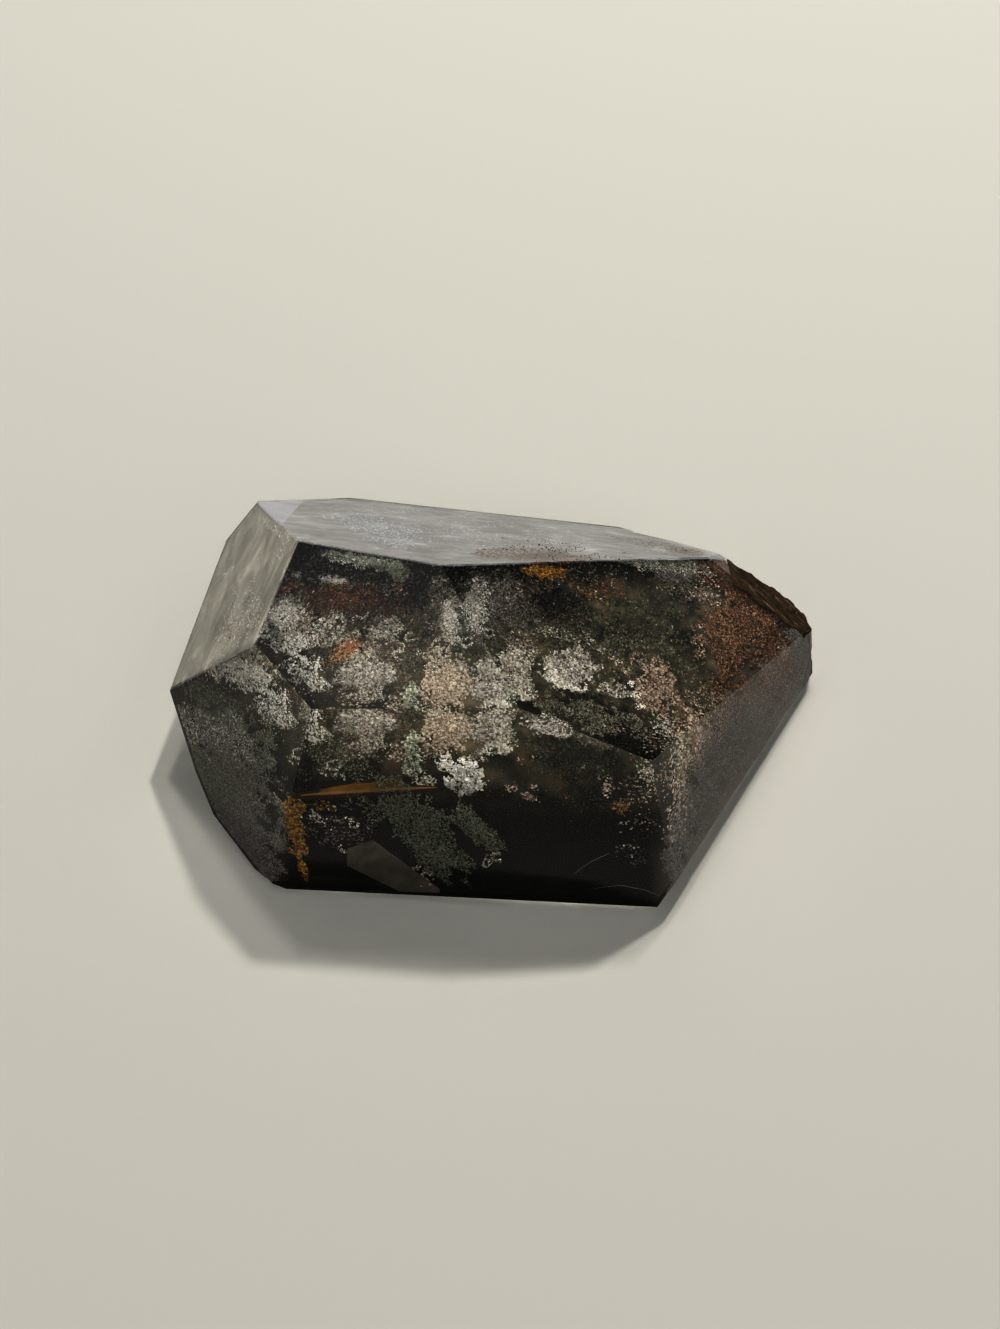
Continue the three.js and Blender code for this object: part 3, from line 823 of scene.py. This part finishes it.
def add_crust(facets, stone):
    """A rough crust on the natural skin, which was never polished, thinner to the lower line."""
    px, py = grid_between(CRUST_UPPER, CRUST_LOWER, CRUST_COLUMNS, CRUST_ROWS)
    tree = surface_tree(stone)
    planned = inside_rays(facets, px, py, "natural skin")[0]
    surface = np.array([tree.find_nearest(Vector(place))[0] for place in planned])
    normal = np.array(tree.find_nearest(Vector(planned.mean(axis=0)))[1])
    rise = (0.1 + 0.07 * lumps(px, py, 5, 4) + 0.04 * lumps(px, py, 2, 5)) * MM
    rise *= np.repeat(np.linspace(1, 0.2, CRUST_ROWS), CRUST_COLUMNS)
    front, back = surface + rise[:, None] * normal, surface - CRUST_DEPTH * normal
    material = streak_material("crust", CRUST_COLOURS, CRUST_TURN, CRUST_STREAKS)
    return add_sheet("natural_crust", front, back, CRUST_ROWS, material)


def add_veil(facets, name, through, upper, lower, depth, turn, colours):
    px, py = grid_between(upper, lower, VEIL_COLUMNS, VEIL_ROWS)
    entry, direction = inside_rays(facets, px, py, through)
    swollen = depth * MM * (1 + 0.1 * lumps(px, py, 23, 0) + 0.03 * lumps(px, py, 7, 1))
    front = facets.inside(entry + swollen[:, None] * direction, VEIL_MARGIN)
    back = front + VEIL_THICKNESS * direction
    material = streak_material(name, colours, turn, STREAK_SIZE)
    return add_sheet(name, front, back, VEIL_ROWS, material, smooth=True)


def add_sliver(facets, name, start, end, rise, drop, depth, colours):
    along, across = even_grid(SLIVER_COLUMNS, SLIVER_ROWS)
    belly = np.sin(np.pi * along) ** 0.32
    px = start[0] + (end[0] - start[0]) * along
    middle = start[1] + (end[1] - start[1]) * along
    py = middle - rise * belly + (rise + drop) * belly * across
    entry, direction = inside_rays(facets, px, py, "front")
    front = entry + depth * MM * direction
    back = front + SLIVER_THICKNESS * direction
    material = streak_material(name, colours, SLIVER_TURN, STREAK_SIZE)
    return add_sheet(name, front, back, SLIVER_ROWS, material)


def tube(points, radius, sides=6):
    """A tube along a line, drawn out to a point at both ends."""
    count = len(points)
    tangents = np.gradient(points, axis=0)
    tangents /= np.linalg.norm(tangents, axis=1, keepdims=True)
    aslant = (0.31, 0.17, 0.93)
    across = np.cross(tangents, aslant)
    across /= np.linalg.norm(across, axis=1, keepdims=True)
    beside = np.cross(tangents, across)
    taper = radius * (0.35 + 0.65 * np.sin(np.pi * np.linspace(0, 1, count)) ** 0.5)
    angle = np.arange(sides) / sides * 2 * np.pi
    ring = across[:, None] * np.cos(angle)[:, None] + beside[:, None] * np.sin(angle)[:, None]
    skin = (points[:, None] + taper[:, None, None] * ring).reshape(-1, 3)
    base = np.arange((count - 1) * sides).reshape(count - 1, sides)
    side = np.roll(base, -1, axis=1)
    quads = np.stack([base, side, side + sides, base + sides], -1).reshape(-1, 4)
    triangles = np.vstack([quads[:, [0, 1, 2]], quads[:, [0, 2, 3]]])
    first, last = count * sides, count * sides + 1
    foot = np.arange(sides)
    head = foot + (count - 1) * sides
    start = np.stack([np.full(sides, first), np.roll(foot, -1), foot], -1)
    end = np.stack([np.full(sides, last), head, np.roll(head, -1)], -1)
    return np.vstack([skin, points[:1], points[-1:]]), np.vstack([triangles, start, end])


def joined(parts):
    """Several meshes as one."""
    offsets = np.cumsum([0] + [len(points) for points, _ in parts[:-1]])
    faces = [part[1] + offset for part, offset in zip(parts, offsets)]
    return np.vstack([part[0] for part in parts]), np.vstack(faces)


def add_crack_reflections(facets):
    parts = []
    for through, pixels, depth, radius in THREADS:
        knots = np.array(pixels, float)
        steps = np.linspace(0, len(knots) - 1, 6 * len(knots))
        px, py = [np.interp(steps, np.arange(len(knots)), column) for column in knots.T]
        entry, direction = inside_rays(facets, px, py, through)
        parts.append(tube(entry + depth * MM * direction, radius * MM))
    # Pale colour for the painted reflections along the cracks
    material = grain_material("thread", CRACK_REFLECTION_COLOURS)
    return add_mesh("painted_crack_reflections", *joined(parts), material, smooth=True)


# Materials

def new_material(name):
    material = bpy.data.materials.new(name)
    material.use_nodes = True
    return material, material.node_tree.nodes, material.node_tree.links


def set_inputs(node, values):
    for name, value in values.items():
        node.inputs[name].default_value = value


def add_node(nodes, kind, **values):
    node = nodes.new("ShaderNode" + kind)
    set_inputs(node, values)
    return node


def connect(links, *ties):
    for start, output, end, entry in ties:
        links.new(start.outputs[output], end.inputs[entry])


def add_ramp(nodes, colours, low=0, high=1):
    ramp = add_node(nodes, "ValToRGB")
    elements = ramp.color_ramp.elements
    while len(elements) < len(colours):
        elements.new(0.5)
    for step, (element, colour) in enumerate(zip(elements, colours)):
        element.position = low + (high - low) * step / (len(colours) - 1)
        element.color = linear(colour)
    return ramp


def quartz_material():
    material, nodes, links = new_material("clear_quartz")
    clear = {"Base Color": (1, 1, 1, 1), "Roughness": 0, "IOR": QUARTZ_IOR, "Transmission Weight": 1}
    set_inputs(nodes["Principled BSDF"], clear)
    absorb = add_node(nodes, "VolumeAbsorption", Color=QUARTZ_TINT, Density=QUARTZ_ABSORPTION)
    connect(links, (absorb, "Volume", nodes["Material Output"], "Volume"))
    return material


def mineral_shader(nodes, roughness):
    shader = nodes["Principled BSDF"]
    set_inputs(shader, {"Roughness": roughness, "Specular IOR Level": INNER_SHINE})
    return shader


def grain_material(name, colours):
    material, nodes, links = new_material(name + "_mineral")
    shader = mineral_shader(nodes, 0.55)
    geometry = add_node(nodes, "NewGeometry")
    ramp = add_ramp(nodes, colours)
    connect(links, (geometry, "Random Per Island", ramp, "Fac"), (ramp, "Color", shader, "Base Color"))
    return material


def streak_material(name, colours, turn, size):
    """Streaks along one way, as noise drawn out across the ground."""
    material, nodes, links = new_material(name)
    shader = mineral_shader(nodes, 0.6)
    place = add_node(nodes, "TexCoord")
    mapping = add_node(nodes, "Mapping")
    mapping.vector_type = "TEXTURE"
    set_inputs(mapping, {"Rotation": (0, 0, math.radians(turn)), "Scale": size})
    noise = add_node(nodes, "TexNoise", Scale=1, Detail=9, Roughness=0.66, Distortion=0.7)
    ramp = add_ramp(nodes, colours, 0.3, 0.72)
    connect(
        links,
        (place, "Object", mapping, "Vector"),
        (mapping, "Vector", noise, "Vector"),
        (noise, "Fac", ramp, "Fac"),
        (ramp, "Color", shader, "Base Color"),
    )
    return material


def bed_material():
    """Noise on the hill, and on the low ground colours from left to right, whose near-black middle is
    painted shade.
    """
    material, nodes, links = new_material("dark_garden_bed")
    shader = mineral_shader(nodes, 0.8)
    noise = add_node(nodes, "TexNoise", Scale=300, Detail=8)
    ramp = add_ramp(nodes, BED_COLOURS, 0.35, 0.65)
    place = add_node(nodes, "TexCoord")
    position = add_node(nodes, "SeparateXYZ")
    hill = add_node(nodes, "MapRange")
    set_inputs(hill, {"From Min": LOW_GROUND_TOP, "From Max": HILL_COLOUR_FROM})
    # The low ground's colours: near black in the middle as painted shade, dark grey at both ends
    low_ground_shade = add_ramp(nodes, LOW_GROUND_COLOURS_AND_SHADE)
    for element, step in zip(low_ground_shade.color_ramp.elements, LOW_GROUND_STEPS):
        element.position = step
    along = add_node(nodes, "MapRange")
    set_inputs(along, {"From Min": LOW_GROUND_LEFT, "From Max": LOW_GROUND_RIGHT})
    shade = add_node(nodes, "Mix")
    shade.data_type = "RGBA"
    connect(
        links,
        (place, "Object", noise, "Vector"),
        (place, "Object", position, "Vector"),
        (position, "X", along, "Value"),
        (position, "Z", hill, "Value"),
        (along, "Result", low_ground_shade, "Fac"),
        (noise, "Fac", ramp, "Fac"),
        (hill, "Result", shade, "Factor"),
        (low_ground_shade, "Color", shade, "A"),
        (ramp, "Color", shade, "B"),
        (shade, "Result", shader, "Base Color"),
    )
    return material


# Mesh pieces

def add_clear_stone(quartz):
    """The clear quartz as one skin: the CAD quartz without its pocket, which opens in the foot."""
    skin = bmesh.new()
    skin.from_mesh(quartz.data)
    bmesh.ops.remove_doubles(skin, verts=skin.verts, dist=1e-6)
    foot = [face for face in skin.faces if max(v.co.z for v in face.verts) < 0.01 * MM]
    bmesh.ops.delete(skin, geom=foot, context="FACES")
    outer, fresh = set(), {max(skin.verts, key=lambda v: v.co.z)}
    while fresh:
        outer |= fresh
        fresh = {edge.other_vert(v) for v in fresh for edge in v.link_edges} - outer
    bmesh.ops.delete(skin, geom=[v for v in skin.verts if v not in outer], context="VERTS")
    rim = [edge for edge in skin.edges if edge.is_boundary]
    bmesh.ops.holes_fill(skin, edges=rim, sides=0)
    bmesh.ops.triangulate(skin, faces=[face for face in skin.faces if len(face.verts) > 3])
    bmesh.ops.recalc_face_normals(skin, faces=skin.faces)
    mesh = bpy.data.meshes.new("clear_stone")
    skin.to_mesh(mesh)
    skin.free()
    mesh.materials.append(quartz_material())
    stone = add_object("clear_stone", mesh)
    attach(stone, "root")
    return stone


def add_mesh(name, points, faces, material, smooth=False):
    mesh = bpy.data.meshes.new(name)
    sides = faces.shape[1]
    mesh.vertices.add(len(points))
    mesh.vertices.foreach_set("co", points.astype(np.float32).ravel())
    mesh.loops.add(faces.size)
    mesh.loops.foreach_set("vertex_index", faces.astype(np.int32).ravel())
    mesh.polygons.add(len(faces))
    mesh.polygons.foreach_set("loop_start", np.arange(0, faces.size, sides, dtype=np.int32))
    mesh.update(calc_edges=True)
    mesh.polygons.foreach_set("use_smooth", np.full(len(faces), smooth))
    mesh.materials.append(material)
    piece = add_object(name, mesh)
    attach(piece, "root")
    return piece


# Stage

def add_floor():
    bpy.ops.mesh.primitive_plane_add(size=FLOOR_SIZE, location=(0, 0, -FLOOR_DROP))
    floor = bpy.context.object
    floor.name = "floor"
    material, nodes, _ = new_material("paper")
    set_inputs(nodes["Principled BSDF"], {"Base Color": linear(FLOOR_COLOUR), "Roughness": 0.9})
    floor.data.materials.append(material)


def add_world():
    world = bpy.data.worlds.new("room")
    world.use_nodes = True
    set_inputs(world.node_tree.nodes["Background"], {"Color": ROOM_COLOUR, "Strength": ROOM_STRENGTH})
    bpy.context.scene.world = world


def add_lamp(name, place, size, power, colour):
    data = bpy.data.lights.new(name, "AREA")
    data.shape = "DISK"
    data.size = size
    data.energy = power
    data.color = colour
    lamp = add_object(name, data)
    lamp.location = place
    lamp.rotation_euler = (LAMP_TARGET - Vector(place)).to_track_quat("-Z", "Y").to_euler()
    return lamp


def add_lamps(pieces):
    """The lamps, of which two light the stone alone and not the floor."""
    group = bpy.data.collections.new("stone")
    for piece in pieces:
        group.objects.link(piece)
    for name, values in LAMPS.items():
        lamp = add_lamp(name, *values)
        lamp.visible_transmission = name not in UNSEEN_INSIDE
        lamp.visible_glossy = name not in NOT_MIRRORED
        if name in STONE_LAMPS:
            lamp.light_linking.receiver_collection = group


def set_up_render():
    scene = bpy.context.scene
    scene.view_settings.view_transform = "Standard"
    scene.view_settings.look = "Very High Contrast"
    cycles = scene.cycles
    cycles.max_bounces = 24
    cycles.transmission_bounces = 16
    cycles.glossy_bounces = 8
    cycles.diffuse_bounces = 4
    cycles.transparent_max_bounces = 16
    cycles.caustics_refractive = True
    cycles.caustics_reflective = True
    cycles.sample_clamp_indirect = 6
    cycles.use_denoising = True


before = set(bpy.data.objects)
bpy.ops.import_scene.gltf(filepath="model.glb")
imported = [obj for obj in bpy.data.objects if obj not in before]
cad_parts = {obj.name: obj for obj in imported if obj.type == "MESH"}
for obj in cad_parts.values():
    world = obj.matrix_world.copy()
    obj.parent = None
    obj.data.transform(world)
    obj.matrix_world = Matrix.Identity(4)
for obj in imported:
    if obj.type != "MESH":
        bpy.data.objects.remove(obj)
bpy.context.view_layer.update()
quartz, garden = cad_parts["quartz_stone"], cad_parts["mineral_garden"]
stone = add_clear_stone(quartz)
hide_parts("quartz_stone")
facets = Facets(stone)
hill = Hill(garden)
bed_map = BedMap(facets, hill)
bed = add_bed(facets, hill)
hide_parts("mineral_garden")
pieces = [bed] + add_grains(facets, hill, bed_map)
pieces += [add_veil(facets, name, *veil) for name, veil in VEILS.items()]
pieces += [add_sliver(facets, name, *sliver) for name, sliver in SLIVERS.items()]
pieces.append(add_crust(facets, stone))
pieces.append(add_crack_reflections(facets))
add_camera()
add_floor()
add_world()
add_lamps([stone] + pieces)
set_up_render()
